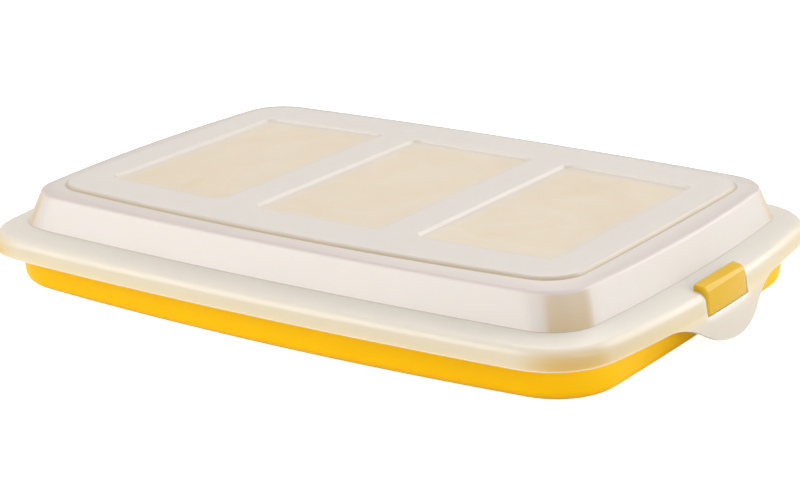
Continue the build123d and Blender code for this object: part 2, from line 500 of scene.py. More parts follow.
@dataclass(frozen=True)
class Plastic:
    """A moulded plastic finish.

    The two colours are the ends of a slow drift over the surface, and tints, mostly painted light
    and shade, lie over them.
    """

    name: str
    colour: tuple[float, float, float]
    drift_colour: tuple[float, float, float]
    roughness: float
    roughness_drift: float
    grain_depth: float
    ior: float = 1.49
    transmission: float = 0.0
    subsurface: float = 0.0
    specular: float = 0.5
    drift_scale: float = MouldedSurface.INPUTS["Drift Scale"]
    tints: tuple[Tint, ...] = ()

    def build(self) -> Material:
        """Makes the material.

        Returns:
            A material whose colour, roughness and bump follow the moulded surface.
        """
        material = bpy.data.materials.new(self.name)
        material.use_nodes = True
        bench = NodeBench(material.node_tree)
        scale = {"Drift Scale": self.drift_scale}
        group = MouldedSurface.group()
        surface = bench.add("ShaderNodeGroup", scale, node_tree=group).outputs
        drift = surface["Drift"]
        colour = bench.blend(drift, self.colour, self.drift_colour)
        for tint in self.tints:
            mask = bench.add("ShaderNodeAttribute", attribute_name=tint.mask)
            over = bench.blend(drift, tint.colour, tint.drift_colour)
            colour = bench.blend(mask.outputs["Fac"], colour, over)
        swing = bench.math("MULTIPLY_ADD", drift, self.roughness_drift, self.roughness)
        rough = bench.math("MULTIPLY_ADD", surface["Scuffs"], self.roughness_drift, swing)
        depth = self.grain_depth * MM
        grain = {"Strength": 0.25, "Distance": depth, "Height": surface["Grain"]}
        bench.shader(
            {
                "Base Color": colour,
                "Roughness": rough,
                "Normal": bench.add("ShaderNodeBump", grain).outputs["Normal"],
                "IOR": self.ior,
                "Transmission Weight": self.transmission,
                "Subsurface Weight": self.subsurface,
                "Subsurface Radius": (1.0, 0.9, 0.7),
                "Subsurface Scale": 0.002,
                "Specular IOR Level": self.specular,
            }
        )
        return material


class LidMask(Enum):
    """The masks on the lid's mesh, by the names of their attributes; most place painted light and
    shade.
    """

    # Painted light on the flange
    FLANGE = "flange_mask"
    # Painted yellow glow of the base seen through the skirt, deeper at its corners
    SKIRT = "skirt_mask"
    SKIRT_CORNER = "skirt_corner_mask"
    TONGUE = "tongue_mask"
    # Painted shade in the crease at the foot of the dome
    CREASE = "crease_mask"
    # Painted shade on the dome's corners
    DOME_CORNER = "dome_corner_mask"
    # Painted shade along the dome's top round
    DOME_ROUND = "dome_round_mask"
    # Painted shade on the panel's riser
    RISER = "riser_mask"
    # Painted shade of the trays seen through the windows
    WINDOW = "window_mask"
    # Painted highlight along the sheet's free edges
    EDGE = "edge_mask"


YELLOW_BASE = Plastic(
    name="yellow_base_plastic",
    colour=(0.99, 0.58, 0.001),
    drift_colour=(0.98, 0.56, 0.001),
    roughness=0.32,
    roughness_drift=0.04,
    grain_depth=0.02,
    subsurface=0.1,
    specular=0.12,
    drift_scale=4.0,
)
# The catches' plastic: the base's own yellow, glossier, and darker as painted shade
YELLOW_CATCH = Plastic(
    name="yellow_catch_plastic",
    colour=(0.69, 0.41, 0.01),
    drift_colour=(0.67, 0.40, 0.01),
    roughness=0.18,
    roughness_drift=0.03,
    grain_depth=0.02,
    specular=0.22,
    drift_scale=4.0,
)
LID_TINTS = (
    # Painted light: the flange is made lighter than the body
    Tint(LidMask.FLANGE.value, (1.0, 0.95, 0.86), (0.99, 0.94, 0.85)),
    # Painted glow: the yellow base seen through the skirt, deeper yellow at its corners
    Tint(LidMask.SKIRT.value, (0.95, 0.86, 0.60), (0.95, 0.85, 0.58)),
    Tint(LidMask.SKIRT_CORNER.value, (0.89, 0.63, 0.18), (0.89, 0.61, 0.15)),
    Tint(LidMask.TONGUE.value, (0.84, 0.79, 0.69), (0.83, 0.78, 0.68)),
    # Painted shade: a thin dark line in the crease at the foot of the dome
    Tint(LidMask.CREASE.value, (0.62, 0.52, 0.40), (0.60, 0.50, 0.38)),
    # Painted shade: a darker tan patch on each corner of the dome
    Tint(LidMask.DOME_CORNER.value, (0.80, 0.62, 0.36), (0.79, 0.61, 0.34)),
    # Painted shade: a greyer band along the round at the top of the dome
    Tint(LidMask.DOME_ROUND.value, (0.84, 0.75, 0.71), (0.83, 0.74, 0.70)),
    # Painted shade: a tan band on the panel's riser, darkest at its foot
    Tint(LidMask.RISER.value, (0.66, 0.54, 0.36), (0.65, 0.53, 0.35)),
    # Painted shade: the beige of the shaded trays seen through, on the windows' slopes
    Tint(LidMask.WINDOW.value, (0.95, 0.83, 0.66), (0.95, 0.85, 0.70)),
    # Painted highlight: lighter lines along the sheet's free edges
    Tint(LidMask.EDGE.value, (0.97, 0.96, 0.93), (0.96, 0.95, 0.92)),
)
MILKY_LID = Plastic(
    name="milky_lid_plastic",
    colour=(0.93, 0.87, 0.81),
    drift_colour=(0.92, 0.86, 0.79),
    roughness=0.29,
    roughness_drift=0.06,
    grain_depth=0.03,
    transmission=0.42,
    drift_scale=4.0,
    tints=LID_TINTS,
)
# The windows' finish: rougher, with a blotchy painted shade of the trays seen through them
LID_WINDOW = Plastic(
    name="lid_window_plastic",
    colour=(0.93, 0.87, 0.81),
    drift_colour=(0.92, 0.86, 0.79),
    roughness=0.36,
    roughness_drift=0.06,
    grain_depth=0.02,
    transmission=0.42,
    drift_scale=16.0,
    tints=(Tint(LidMask.WINDOW.value, (0.90, 0.75, 0.54), (0.99, 0.91, 0.76)),),
)
IVORY_TRAY = Plastic(
    name="ivory_tray_plastic",
    colour=(0.80, 0.70, 0.57),
    drift_colour=(0.78, 0.68, 0.55),
    roughness=0.45,
    roughness_drift=0.08,
    grain_depth=0.03,
)


# Sub-assemblies


@dataclass(frozen=True)
class Rim:
    """The sizes that the lid's flange and the rim of the base share.

    Its rings have stations at the edges of the slot and of the tongue.
    """

    skirt: Outline = Outline(370.0, 264.0, 35.0, 6.5, 12.0)
    crease: Outline = Outline(335.8, 230.0, 24.6, 5.7, 6.0)
    skirt_bottom: float = 20.3
    skirt_height: float = 4.9
    skirt_draft: float = 0.8
    shoulder: float = 5.0
    shoulder_end: float = 81.0
    crease_height: float = 32.0
    lid_wall: float = 1.4
    clearance: float = 0.4
    stations: Stations = Stations(
        end=tuple(
            np.append(np.linspace(0, SLOT_EDGE, 9), np.linspace(SLOT_EDGE, TONGUE_EDGE, 15)[1:])
        ),
        side=tuple(np.linspace(0, 120, 13)),
    )

    def flange(self, steps: int) -> list[Level]:
        """The outside of the flange, from the bottom of the skirt up to the crease.

        Args:
            steps: how many steps its shoulder takes.

        Returns:
            The levels, from the bottom up.
        """
        start = self.skirt.inset(self.skirt_draft)
        height = self.skirt_bottom + self.skirt_height
        levels = [Level(self.skirt, self.skirt_bottom)]
        levels += round_levels(start, height, self.shoulder, 0.0, self.shoulder_end, steps)
        levels.append(Level(self.crease, self.crease_height))
        return levels


@dataclass(frozen=True)
class Catch:
    """The catch on each end of the base, which stands through a slot in the lid.

    The places of its section are given outward from the back and down from the top. Each
    pull is the share of an inset by which its place moves inward and down.
    """

    width: float = 41.5
    back: float = 177.1
    top: float = 33.4
    shelf: tuple[float, float] = (3.4, 0.7)
    crown: tuple[float, float] = (5.7, 2.1)
    nose: tuple[float, float] = (6.9, 4.7)
    foot: tuple[float, float] = (8.1, 14.1)
    root: tuple[float, float] = (4.4, 8.2)
    back_foot: tuple[float, float] = (0.0, 5.2)
    back_pull: tuple[float, float] = (0.0, 0.3)
    shelf_pull: tuple[float, float] = (0.5, 0.4)
    crown_pull: tuple[float, float] = (0.5, 0.5)
    nose_pull: tuple[float, float] = (1.0, 0.0)
    arc_points: int = 9
    end_points: int = 5
    corner: float = 2.2
    edge: float = 0.6

    def profile(self, inset: float) -> list[Vector | tuple[float, float]]:
        """The catch's section, drawn in from its outside.

        Args:
            inset: how far it is drawn in.

        Returns:
            Its (x, z) points, anticlockwise from the top of its back.
        """

        def drawn(place: tuple[float, float], pull: tuple[float, float] = (0.0, 0.0)) -> Vector:
            """A place of the section, drawn in by its shares of the inset."""
            out, down = place
            return Vector((self.back + out - pull[0] * inset, self.top - down - pull[1] * inset))

        start = drawn(self.shelf, self.shelf_pull)
        middle = drawn(self.crown, self.crown_pull)
        end = drawn(self.nose, self.nose_pull)
        centre, radius = circle_through(start, middle, end)
        first = math.atan2(start.y - centre.y, start.x - centre.x)
        last = math.atan2(end.y - centre.y, end.x - centre.x)
        turns = np.linspace(first, last, self.arc_points)
        arc = [(centre.x + radius * math.cos(t), centre.y + radius * math.sin(t)) for t in turns]
        under = [
            drawn(self.foot, self.nose_pull),
            drawn((self.root[0], self.foot[1])),
            drawn(self.root),
            drawn(self.back_foot),
        ]
        return [drawn((0.0, 0.0), self.back_pull)] + arc + under

    def add_to(self, mesh: BMesh) -> None:
        """Adds both catches to a mesh, with their ends rounded in plan.

        Args:
            mesh: the mesh of the base.
        """
        half = self.width / 2 - self.corner
        slices = []
        for turn in np.linspace(0, math.pi / 2, self.end_points):
            across = half + self.corner * math.cos(turn)
            slices.append((-across, self.corner * (1 - math.sin(turn))))
        slices += [(-y, inset) for y, inset in slices[::-1]]
        for side in (1, -1):
            rows = []
            for y, inset in slices:
                points = [Vector((side * x, side * y, z)) for x, z in self.profile(inset)]
                rows.append([mesh.verts.new(point * MM) for point in points])
            for near, far in zip(rows, rows[1:]):
                add_band(mesh, far, near)
            mesh.faces.new(rows[-1])
            mesh.faces.new(rows[0][::-1])
            for face in {face for row in rows for vert in row for face in vert.link_faces}:
                face.material_index = POLISHED_SLOT


def circle_through(start: Vector, middle: Vector, end: Vector) -> tuple[Vector, float]:
    """The centre and the radius of the circle through three points of a plane.

    Args:
        start: the first point.
        middle: the second point.
        end: the third point.

    Returns:
        The centre, and the radius.
    """
    rows = np.array([2 * (middle - start), 2 * (end - start)])
    sums = np.array([middle.dot(middle) - start.dot(start), end.dot(end) - start.dot(start)])
    centre = Vector(np.linalg.solve(rows, sums))
    return centre, (centre - start).length


@dataclass
class Base:
    """The yellow base: a shallow tray, its folded rim and a catch on each end."""

    rim: Rim = field(default_factory=Rim)
    catch: Catch = field(default_factory=Catch)
    floor: Outline = Outline(332.0, 226.4, 27.0, 9.5, 1.5)
    wall: float = 1.8
    floor_round: float = 6.0
    draft: float = 7.0
    lip_lift: float = 0.6
    round_steps: int = 8
    foot_inset: float = 4.0
    floor_inset: float = 6.0
    inner_seam: float = 29.3
    outer_seam: float = 27.4
    inner_soft: float = 0.7
    outer_soft: float = 0.9
    lip_soft: float = 0.5
    seam_reach: float = 1.0
    seam_blur: float = 0.001

    def wall_levels(self) -> list[Level]:
        """The outside of the wall, from the floor up to the height of the lid's crease.

        Returns:
            The levels, from the bottom up.
        """
        levels = round_levels(
            self.floor,
            height=0.0,
            radius=self.floor_round,
            start=-90.0,
            end=-self.draft,
            steps=self.round_steps,
        )
        foot = levels[-1]
        rise = self.rim.crease_height - foot.height
        top = foot.outline.inset(-rise * math.tan(math.radians(self.draft)))
        levels.append(Level(top, self.rim.crease_height))
        return levels

    def wall_at(self, levels: list[Level], height: float) -> np.ndarray:
        """The ring of a wall at a height between its last two levels.

        Args:
            levels: the levels of the wall.
            height: the height of the ring.

        Returns:
            The ring's points.
        """
        foot = levels[-2]
        outward = (height - foot.height) * math.tan(math.radians(self.draft))
        return foot.outline.inset(-outward).ring(self.rim.stations, height)

    def mouth(self, height: float) -> Outline:
        """The inside of the wall at a height."""
        foot = inner_levels(self.wall_levels(), self.wall, floor=True)[-2]
        return foot.outline.inset(-(height - foot.height) * math.tan(math.radians(self.draft)))

    def seam(self, wall: np.ndarray, outer: np.ndarray, inner: np.ndarray) -> np.ndarray:
        """The ring where a wall meets a sloping face of the rim.

        Args:
            wall: the wall's ring near the seam.
            outer: the sloping face's outer ring.
            inner: its inner ring.

        Returns:
            The wall's ring, raised or lowered onto the sloping face.
        """
        ribs = (inner - outer)[:, :2]
        climb = inner[0, 2] - outer[0, 2]
        joined = wall.copy()
        for point in joined:
            reach = point[:2] - outer[:, :2]
            along = (reach * ribs).sum(axis=1) / (ribs**2).sum(axis=1)
            across = np.abs(ribs[:, 0] * reach[:, 1] - ribs[:, 1] * reach[:, 0])
            across[np.abs(along - 1 / 2) > self.seam_reach] = np.inf
            nearest = np.argsort(across)[:2]
            weights = 1.0 / (across[nearest] + self.seam_blur)
            point[2] = outer[0, 2] + climb * np.average(along[nearest], weights=weights)
        return joined

    def rows(self) -> list[np.ndarray]:
        """The whole skin of the base in rows, from the underside round to the inner floor.

        Returns:
            The rows, in order along the skin.
        """
        stations = self.rim.stations
        outside = self.wall_levels()
        inside = inner_levels(outside, self.wall, floor=True)
        seat = self.rim.lid_wall + self.rim.clearance
        flange = self.rim.flange(self.round_steps)
        top = rings_of(inner_levels(flange, seat), stations)
        under = rings_of(inner_levels(flange, seat + self.wall), stations)
        lip = self.rim.skirt_bottom + self.lip_lift
        for row in (top[0], under[0]):
            row.points[:, 2] = lip
            row.soft = self.lip_soft
        inner_wall = self.wall_at(inside, self.inner_seam)
        outer_wall = self.wall_at(outside, self.outer_seam)
        inner_seam = self.seam(inner_wall, top[-2].points, top[-1].points)
        outer_seam = self.seam(outer_wall, under[-2].points, under[-1].points)
        rings = rings_of([Level(self.floor.inset(self.foot_inset), 0.0)] + outside[:-1], stations)
        rings.append(Ring(outer_seam, self.outer_soft))
        rings += under[-2::-1]
        rings += top[:-1]
        rings.append(Ring(inner_seam, self.inner_soft))
        rings += rings_of(inside[-2::-1], stations)
        rings += rings_of([Level(self.floor.inset(self.floor_inset), self.wall)], stations)
        return softened(rings)

    def build(self, finish: Plastic, catch_finish: Plastic) -> Object:
        """Makes the base.

        Args:
            finish: the plastic that it is moulded from.
            catch_finish: the same plastic on the catches, glossier and darkened with painted shade.

        Returns:
            The piece that stands for the base.
        """
        mesh = bmesh.new()
        rows = add_rows(mesh, self.rows())
        for lower, upper in zip(rows, rows[1:]):
            add_band(mesh, lower, upper)
        mesh.faces.new(rows[0][::-1])
        mesh.faces.new(rows[-1])
        self.catch.add_to(mesh)
        piece = finish_object("base_moulding", mesh, finish.build(), catch_finish.build())
        add_bevel(piece, self.catch.edge, segments=3, degrees=35.0)
        bake_modifiers(piece)
        shade(piece, SMOOTH_TURN)
        return piece


@dataclass(frozen=True)
class Tongue:
    """The pull tongue under each catch, where the skirt flares outward."""

    drop: float = 15.5
    half_span: float = TONGUE_EDGE
    tip_radius: float = 54.0
    flare: float = 6.0

    def depth(self, y: float) -> float:
        """How far the tongue's edge hangs below the skirt at a distance from its middle.

        Args:
            y: the distance from the middle, to either side.

        Returns:
            The depth below the skirt.
        """
        across = abs(y)
        if across >= self.half_span:
            return 0.0
        both = (self.half_span**2 + self.drop**2) / (2 * self.drop)
        flank = both - self.tip_radius
        slope = math.atan2(both - self.drop, self.half_span)
        if across <= self.tip_radius * math.cos(slope):
            return self.drop - self.tip_radius + math.sqrt(self.tip_radius**2 - across**2)
        return flank - math.sqrt(flank**2 - (self.half_span - across) ** 2)


@dataclass(frozen=True)
class Window:
    """The recessed windows of the lid's panel, whose row bows with the panel.

    The slope leads down to a window's own floor, the border is a strip of flat beside the
    slope, and the tint, a painted shade of the trays seen through, grows over the fade to its full
    strength.
    """

    count: int = 3
    pitch: float = 94.0
    length: float = 75.0
    width: float = 145.0
    corner: float = 5.0
    row_bow: float = 4.6
    depth: float = 1.8
    slope: float = 1.0
    border: float = 1.6
    fade: float = 6.5
    fade_power: float = 0.9
    tint: float = 0.95
    edge: float = 0.5
    corner_pull: float = 0.3
    corner_points: int = 7
    side_points: int = 12

    @property
    def half_row(self) -> float:
        """Half the length of the row of windows."""
        return (self.pitch * (self.count - 1) + self.length) / 2

    def back_edge(self, x: float) -> float:
        """How far back the windows reach at a place along the row."""
        return self.width / 2 - self.row_bow * (x / self.half_row) ** 2

    def back_turn(self, x: float) -> float:
        """The direction that their back edge faces, there."""
        return math.pi / 2 - math.atan(-2 * self.row_bow * x / self.half_row**2)

    def cover(self, x: float, y: float) -> float:
        """How far inside the edge of the nearest window a place lies, or less than 0.

        Args:
            x: the place along the row of windows.
            y: the place across it.

        Returns:
            The distance to the edge.
        """
        most = (self.count - 1) / 2
        middle = self.pitch * min(max(round(x / self.pitch), -most), most)
        return min(self.length / 2 - abs(x - middle), self.back_edge(x) - abs(y))

    def tint_at(self, cover: float) -> float:
        """How far the window's painted shade shows this far inside its edge."""
        return self.tint * min(1.0, cover / (self.slope + self.fade)) ** self.fade_power

    def ring(self, index: int, inset: float, height: float) -> np.ndarray:
        """The outline of one window, moved inward, as a ring at a height.

        Args:
            index: which window, counted along X.
            inset: how far its sides are moved inward.
            height: the height of the ring.

        Returns:
            The points in order, anticlockwise from above.
        """
        middle = (index - (self.count - 1) / 2) * self.pitch
        corner = self.corner - self.corner_pull * inset
        reach = self.length / 2 - inset - corner
        right, left = middle + reach, middle - reach

        def round_at(x: float, start: float, stop: float) -> np.ndarray:
            """The round of one of the window's back corners.

            Args:
                x: where the round's centre lies along the row.
                start: the direction that its first point faces.
                stop: the direction that its last point faces.

            Returns:
                The points of the round.
            """
            turns = np.linspace(start, stop, self.corner_points)
            centre = (x, self.back_edge(x) - inset - corner)
            return np.stack([np.cos(turns), np.sin(turns)], 1) * corner + centre

        xs = np.linspace(right, left, self.side_points)[1:-1]
        side = np.array([(x, self.back_edge(x) - inset) for x in xs])
        right_round = round_at(right, 0.0, self.back_turn(right))
        left_round = round_at(left, self.back_turn(left), math.pi)
        back = np.vstack([right_round, side, left_round])
        whole = np.vstack([back, (back * (1, -1))[::-1]])
        return np.column_stack([whole, np.full(len(whole), height)])

    def rows(self, index: int, top: float) -> list[np.ndarray]:
        """The rows of one window, from the panel round it down to its own floor.

        Args:
            index: which window, counted along X.
            top: the height of the panel.

        Returns:
            The rows, from the outside in.
        """
        floor = top - self.depth
        rings = [
            Ring(self.ring(index, -self.border, top)),
            Ring(self.ring(index, 0.0, top), self.edge),
            Ring(self.ring(index, self.slope, floor), self.edge),
            Ring(self.ring(index, self.slope + self.border, floor)),
            Ring(self.ring(index, self.slope + self.fade, floor)),
        ]
        return softened(rings)


@dataclass(frozen=True)
class Fade:
    """How a tint comes and goes: its strength at some places, and even between them."""

    places: tuple[float, ...]
    strengths: tuple[float, ...]

    def at(self, place: float) -> float:
        """The strength at a place."""
        return float(np.interp(place, self.places, self.strengths))


@dataclass(frozen=True)
class LidTinting:
    """Where the tints lie on the lid, most of them painted light and shade.

    A turn is the direction that a face looks in plan, in degrees from the Y axis. A climb
    is a height in the dome, as a share of its own height.
    """

    dome_corner_turn: Fade = Fade((22.0, 31.0, 77.0, 85.0), (0.0, 1.0, 1.0, 0.0))
    skirt_corner_turn: Fade = Fade((5.0, 32.0, 66.0, 88.0), (0.0, 1.0, 1.0, 0.0))
    dome_corner_climb: Fade = Fade((0.0, 0.89, 0.93), (0.9, 0.6, 0.0))
    dome_round_climb: Fade = Fade((0.9, 0.96, 1.0, 1.01), (0.0, 1.0, 1.0, 0.0))
    crease_lift: float = 0.1
    crease_reach: float = 0.14
    crease_strength: float = 0.7
    riser_power: float = 0.7
    skirt_gain: float = 1.5
    polish_margin: float = 0.1


@dataclass
class Lid:
    """The milky lid: one moulded sheet from the panel down to the tongues."""

    rim: Rim = field(default_factory=Rim)
    tongue: Tongue = field(default_factory=Tongue)
    window: Window = field(default_factory=Window)
    catch: Catch = field(default_factory=Catch)
    tinting: LidTinting = field(default_factory=LidTinting)
    dome_height: float = 16.6
    dome_slant: float = 19.0
    dome_round: float = 2.6
    dome_round_end: float = 86.0
    ledge_rise: float = 0.7
    dome_corner_gain: float = 4.0
    panel: Outline = Outline(301.6, 200.0, 20.0, 8.0, 1.0)
    panel_rise: float = 1.7
    panel_slope: float = 1.6
    panel_border: float = 3.0
    panel_soft: float = 0.6
    crease_soft: float = 0.4
    flange_steps: int = 9
    dome_steps: int = 6
    slot_clearance: float = 0.4
    slot_shares: tuple[float, ...] = (0.5, 1.0)
    tongue_shares: tuple[float, ...] = (0.25, 0.5, 0.75, 0.93, 1.0)
    rib_wall: float = 1.3
    rib_depth: float = 5.5
    rib_clearance: float = 0.8
    lip: float = 0.9
    edge: float = 0.35

    @property
    def ledge(self) -> float:
        """The height of the ledge round the foot of the panel."""
        return self.rim.crease_height + self.dome_height + self.ledge_rise

    @property
    def panel_top(self) -> float:
        """The height of the raised panel."""
        return self.ledge + self.panel_rise

    @property
    def slot_half(self) -> float:
        """Half the width of a slot."""
        return self.catch.width / 2 + self.slot_clearance

    def levels(self) -> list[Level]:
        """The outside of the lid, from the bottom of the skirt up to the panel.

        Returns:
            The levels, from the bottom up.
        """
        slant = math.radians(self.dome_slant)
        turn = math.sin(math.radians(self.dome_round_end)) - math.sin(slant)
        wall_rise = self.dome_height - self.dome_round * turn
        wall_top = self.rim.crease.inset(wall_rise * math.tan(slant))
        wall_top = replace(wall_top, corner=wall_top.corner + self.dome_corner_gain)
        flange = self.rim.flange(self.flange_steps)
        lip = self.rim.skirt.inset(self.rim.skirt_draft * self.lip / self.rim.skirt_height)
        levels = [flange[0], Level(lip, self.rim.skirt_bottom + self.lip)] + flange[1:-1]
        levels.append(replace(flange[-1], soft=self.crease_soft))
        levels += round_levels(
            wall_top,
            self.rim.crease_height + wall_rise,
            self.dome_round,
            self.dome_slant,
            self.dome_round_end,
            self.dome_steps,
        )
        top = self.panel_top
        levels.append(Level(self.panel, self.ledge, self.panel_soft))
        levels.append(Level(self.panel.inset(self.panel_slope), top, self.panel_soft))
        levels.append(Level(self.panel.inset(self.panel_slope + self.panel_border), top))
        return levels

    def slot_line(self, outer: np.ndarray, inner: np.ndarray) -> np.ndarray:
        """The row of the flange that runs along the back of both slots.

        Args:
            outer: the row at the outer edge of the flange.
            inner: the row at its inner edge.

        Returns:
            A row that is straight behind each slot.
        """
        out, across = np.abs(outer[:, 0]), np.abs(outer[:, 1])
        near = (across <= self.slot_half + NEAR) & (out > self.catch.back)
        edge = near & (across > self.slot_half - NEAR)
        reach = out - (self.catch.back - self.slot_clearance)
        run = out - np.abs(inner[:, 0])
        shares = np.full(len(outer), (reach[edge] / run[edge]).mean())
        shares[near] = reach[near] / run[near]
        return outer + (inner - outer) * shares[:, None]

    def tongue_rows(self, skirt: np.ndarray) -> list[np.ndarray]:
        """The rows below the skirt, from the slot's lower edge to the tongue's edge.

        Args:
            skirt: the row at the bottom of the skirt.

        Returns:
            The rows from the top down; away from the tongues they keep to the skirt.
        """
        tip = self.rim.skirt.inset(-self.tongue.flare)
        flare = tip.ring(self.rim.stations, self.rim.skirt_bottom - self.tongue.drop)
        at_end = np.abs(skirt[:, 0]) > np.abs(skirt[:, 1])
        depth = np.array([self.tongue.depth(y) for y in skirt[:, 1]]) * at_end
        low = self.catch.top - self.catch.foot[1] - self.slot_clearance
        slot_drop = self.rim.skirt_bottom - low
        slot = slot_drop * np.minimum(1.0, depth / self.tongue.depth(self.slot_half))
        drops = [slot * share for share in self.slot_shares]
        drops += [slot + (depth - slot) * share for share in self.tongue_shares]
        return [skirt + (flare - skirt) * (drop / self.tongue.drop)[:, None] for drop in drops]

    def masks_at(self, vert: BMVert) -> dict[LidMask, float]:
        """How far each tint, mostly painted light and shade, shows at a vertex of the lid's sheet.

        Args:
            vert: the vertex, with its normal worked out.

        Returns:
            The masks that are above 0 there.
        """
        x, y, z = vert.co / MM
        rim, tinting = self.rim, self.tinting
        cover = self.window.cover(x, y)
        # Painted shade of the trays seen through the windows
        if z > self.ledge - self.window.depth and cover > 0:
            return {LidMask.WINDOW: self.window.tint_at(cover)}
        # Painted shade on the panel's riser, darkest at its foot
        if z > self.ledge:
            sink = max(0.0, 1.0 - (z - self.ledge) / self.panel_rise)
            return {LidMask.RISER: sink**tinting.riser_power}
        # Painted shade along the crease at the dome's foot
        if abs(z - rim.crease_height - tinting.crease_lift) < tinting.crease_reach:
            return {LidMask.CREASE: tinting.crease_strength}
        turn = math.degrees(math.atan2(abs(vert.normal.x), abs(vert.normal.y)))
        if z > rim.crease_height:
            climb = (z - rim.crease_height) / self.dome_height
            corner = tinting.dome_corner_turn.at(turn)
            return {
                # Painted shade on the dome's corners, fading near the top of the wall
                LidMask.DOME_CORNER: corner * tinting.dome_corner_climb.at(climb),
                # Painted shade along the dome's top round
                LidMask.DOME_ROUND: tinting.dome_round_climb.at(climb),
            }
        shoulder = rim.skirt_height + rim.shoulder
        share = (rim.skirt_bottom + shoulder - z) / shoulder
        sink = min(1.0, max(0.0, share * tinting.skirt_gain))
        below = min(1.0, max(0.0, (rim.skirt_bottom - z) / self.tongue.flare))
        return {
            # Painted light on the flange, fading out down the shoulder
            LidMask.FLANGE: 1.0 - sink,
            # Painted yellow glow of the base seen through the skirt, deeper at its corners
            LidMask.SKIRT: sink * (1.0 - below),
            LidMask.SKIRT_CORNER: tinting.skirt_corner_turn.at(turn) * sink,
            LidMask.TONGUE: below,
            # Painted highlight along the free edges of the sheet
            LidMask.EDGE: float(vert.is_boundary),
        }

    def mark(self, mesh: BMesh) -> None:
        """Writes the masks of the lid's tints, mostly painted light and shade, to the vertices, and
        gives the windows their own finish.

        Args:
            mesh: the lid's mesh, before it is given its thickness.
        """
        mesh.normal_update()
        layers = {mask: mesh.verts.layers.float.new(mask.value) for mask in LidMask}
        for vert in mesh.verts:
            for mask, value in self.masks_at(vert).items():
                vert[layers[mask]] = value
        # The windows' own finish carries painted shade of the trays seen through them
        for face in mesh.faces:
            covers = [self.window.cover(vert.co.x / MM, vert.co.y / MM) for vert in face.verts]
            if min(covers) > self.window.slope - self.tinting.polish_margin:
                face.material_index = POLISHED_SLOT

    def add_rib(self, mesh: BMesh, mouth: Outline) -> None:
        """Adds the rib under the flange that drops into the mouth of the base.

        Args:
            mesh: the lid's mesh.
            mouth: the inside of the base's wall at the foot of the rib.
        """
        low = self.rim.crease_height - self.rib_depth
        high = self.rim.crease_height - self.rim.lid_wall
        outer = mouth.inset(self.rib_clearance)
        inner = outer.inset(self.rib_wall)
        levels = [Level(outer, low), Level(outer, high), Level(inner, high), Level(inner, low)]
        rows = add_rows(mesh, [ring.points for ring in rings_of(levels, self.rim.stations)])
        for lower, upper in zip(rows, rows[1:] + rows[:1]):
            add_band(mesh, lower, upper)

    def build(self, finish: Plastic, window_finish: Plastic, mouth: Outline) -> Object:
        """Makes the lid.

        Args:
            finish: the plastic that it is moulded from.
            window_finish: the same plastic in the windows, rougher and with painted shade of the
                trays seen through them.
            mouth: the inside of the base's wall at the foot of the rib.

        Returns:
            The piece that stands for the lid.
        """
        rows = softened(rings_of(self.levels(), self.rim.stations))
        flange_row = len(self.rim.flange(self.flange_steps)) - 1
        rows.insert(flange_row + 1, self.slot_line(rows[flange_row], rows[flange_row + 1]))
        skirt = rows[0]
        slot_gaps = self.places_within(skirt, self.slot_half)
        beside = set(range(len(skirt))) - self.places_within(skirt, self.tongue.half_span)

        mesh = bmesh.new()
        upper = add_rows(mesh, rows)
        for index, (below, above) in enumerate(zip(upper, upper[1:])):
            add_band(mesh, below, above, frozenset(slot_gaps if index <= flange_row else ()))
        above = upper[0]
        for index, below in enumerate(add_rows(mesh, self.tongue_rows(skirt))):
            gaps = beside | slot_gaps if index < len(self.slot_shares) else beside
            add_band(mesh, below, above, frozenset(gaps))
            above = below
        self.add_panel(mesh, upper[-1])
        loose = [vert for vert in mesh.verts if not vert.link_faces]
        bmesh.ops.delete(mesh, geom=loose, context="VERTS")
        bmesh.ops.remove_doubles(mesh, verts=mesh.verts, dist=WELD * MM)
        self.mark(mesh)
        piece = finish_object("lid_moulding", mesh, finish.build(), window_finish.build())
        wall = piece.modifiers.new("sheet", "SOLIDIFY")
        wall.thickness = self.rim.lid_wall * MM
        wall.offset = -1.0
        wall.use_even_offset = True
        add_bevel(piece, self.edge, segments=2, degrees=50.0)
        bake_modifiers(piece)
        mesh = bmesh.new()
        mesh.from_mesh(piece.data)
        self.add_rib(mesh, mouth)
        mesh.to_mesh(piece.data)
        mesh.free()
        shade(piece, SMOOTH_TURN)
        return piece

    def places_within(self, row: np.ndarray, half: float) -> set[int]:
        """The places of a row whose faces lie at an end, this near its middle or nearer.

        Args:
            row: the row's points.
            half: how far from the middle the faces may reach.

        Returns:
            The places, as add_band counts them.
        """
        across = np.abs(row[:, 1])
        inside = (np.abs(row[:, 0]) > across) & (across <= half + NEAR)
        return set(np.flatnonzero(inside & np.roll(inside, -1)).tolist())

    def add_panel(self, mesh: BMesh, rim_row: list[BMVert]) -> None:
        """Adds the panel and its windows inside the panel's outer row.

        Args:
            mesh: the lid's mesh.
            rim_row: the row at the edge of the flat of the panel.
        """
        edges = row_edges(mesh, rim_row)
        for index in range(self.window.count):
            rows = add_rows(mesh, self.window.rows(index, self.panel_top))
            for outer, inner in zip(rows, rows[1:]):
                add_band(mesh, outer, inner)
            mesh.faces.new(rows[-1])
            edges += row_edges(mesh, rows[0])
        bmesh.ops.triangle_fill(mesh, use_beauty=True, edges=edges, normal=(0, 0, 1))


class TrayPlace(Enum):
    """Where each lift-out tray stands, in tray pitches from the middle."""

    LEFT = -1
    MIDDLE = 0
    RIGHT = 1


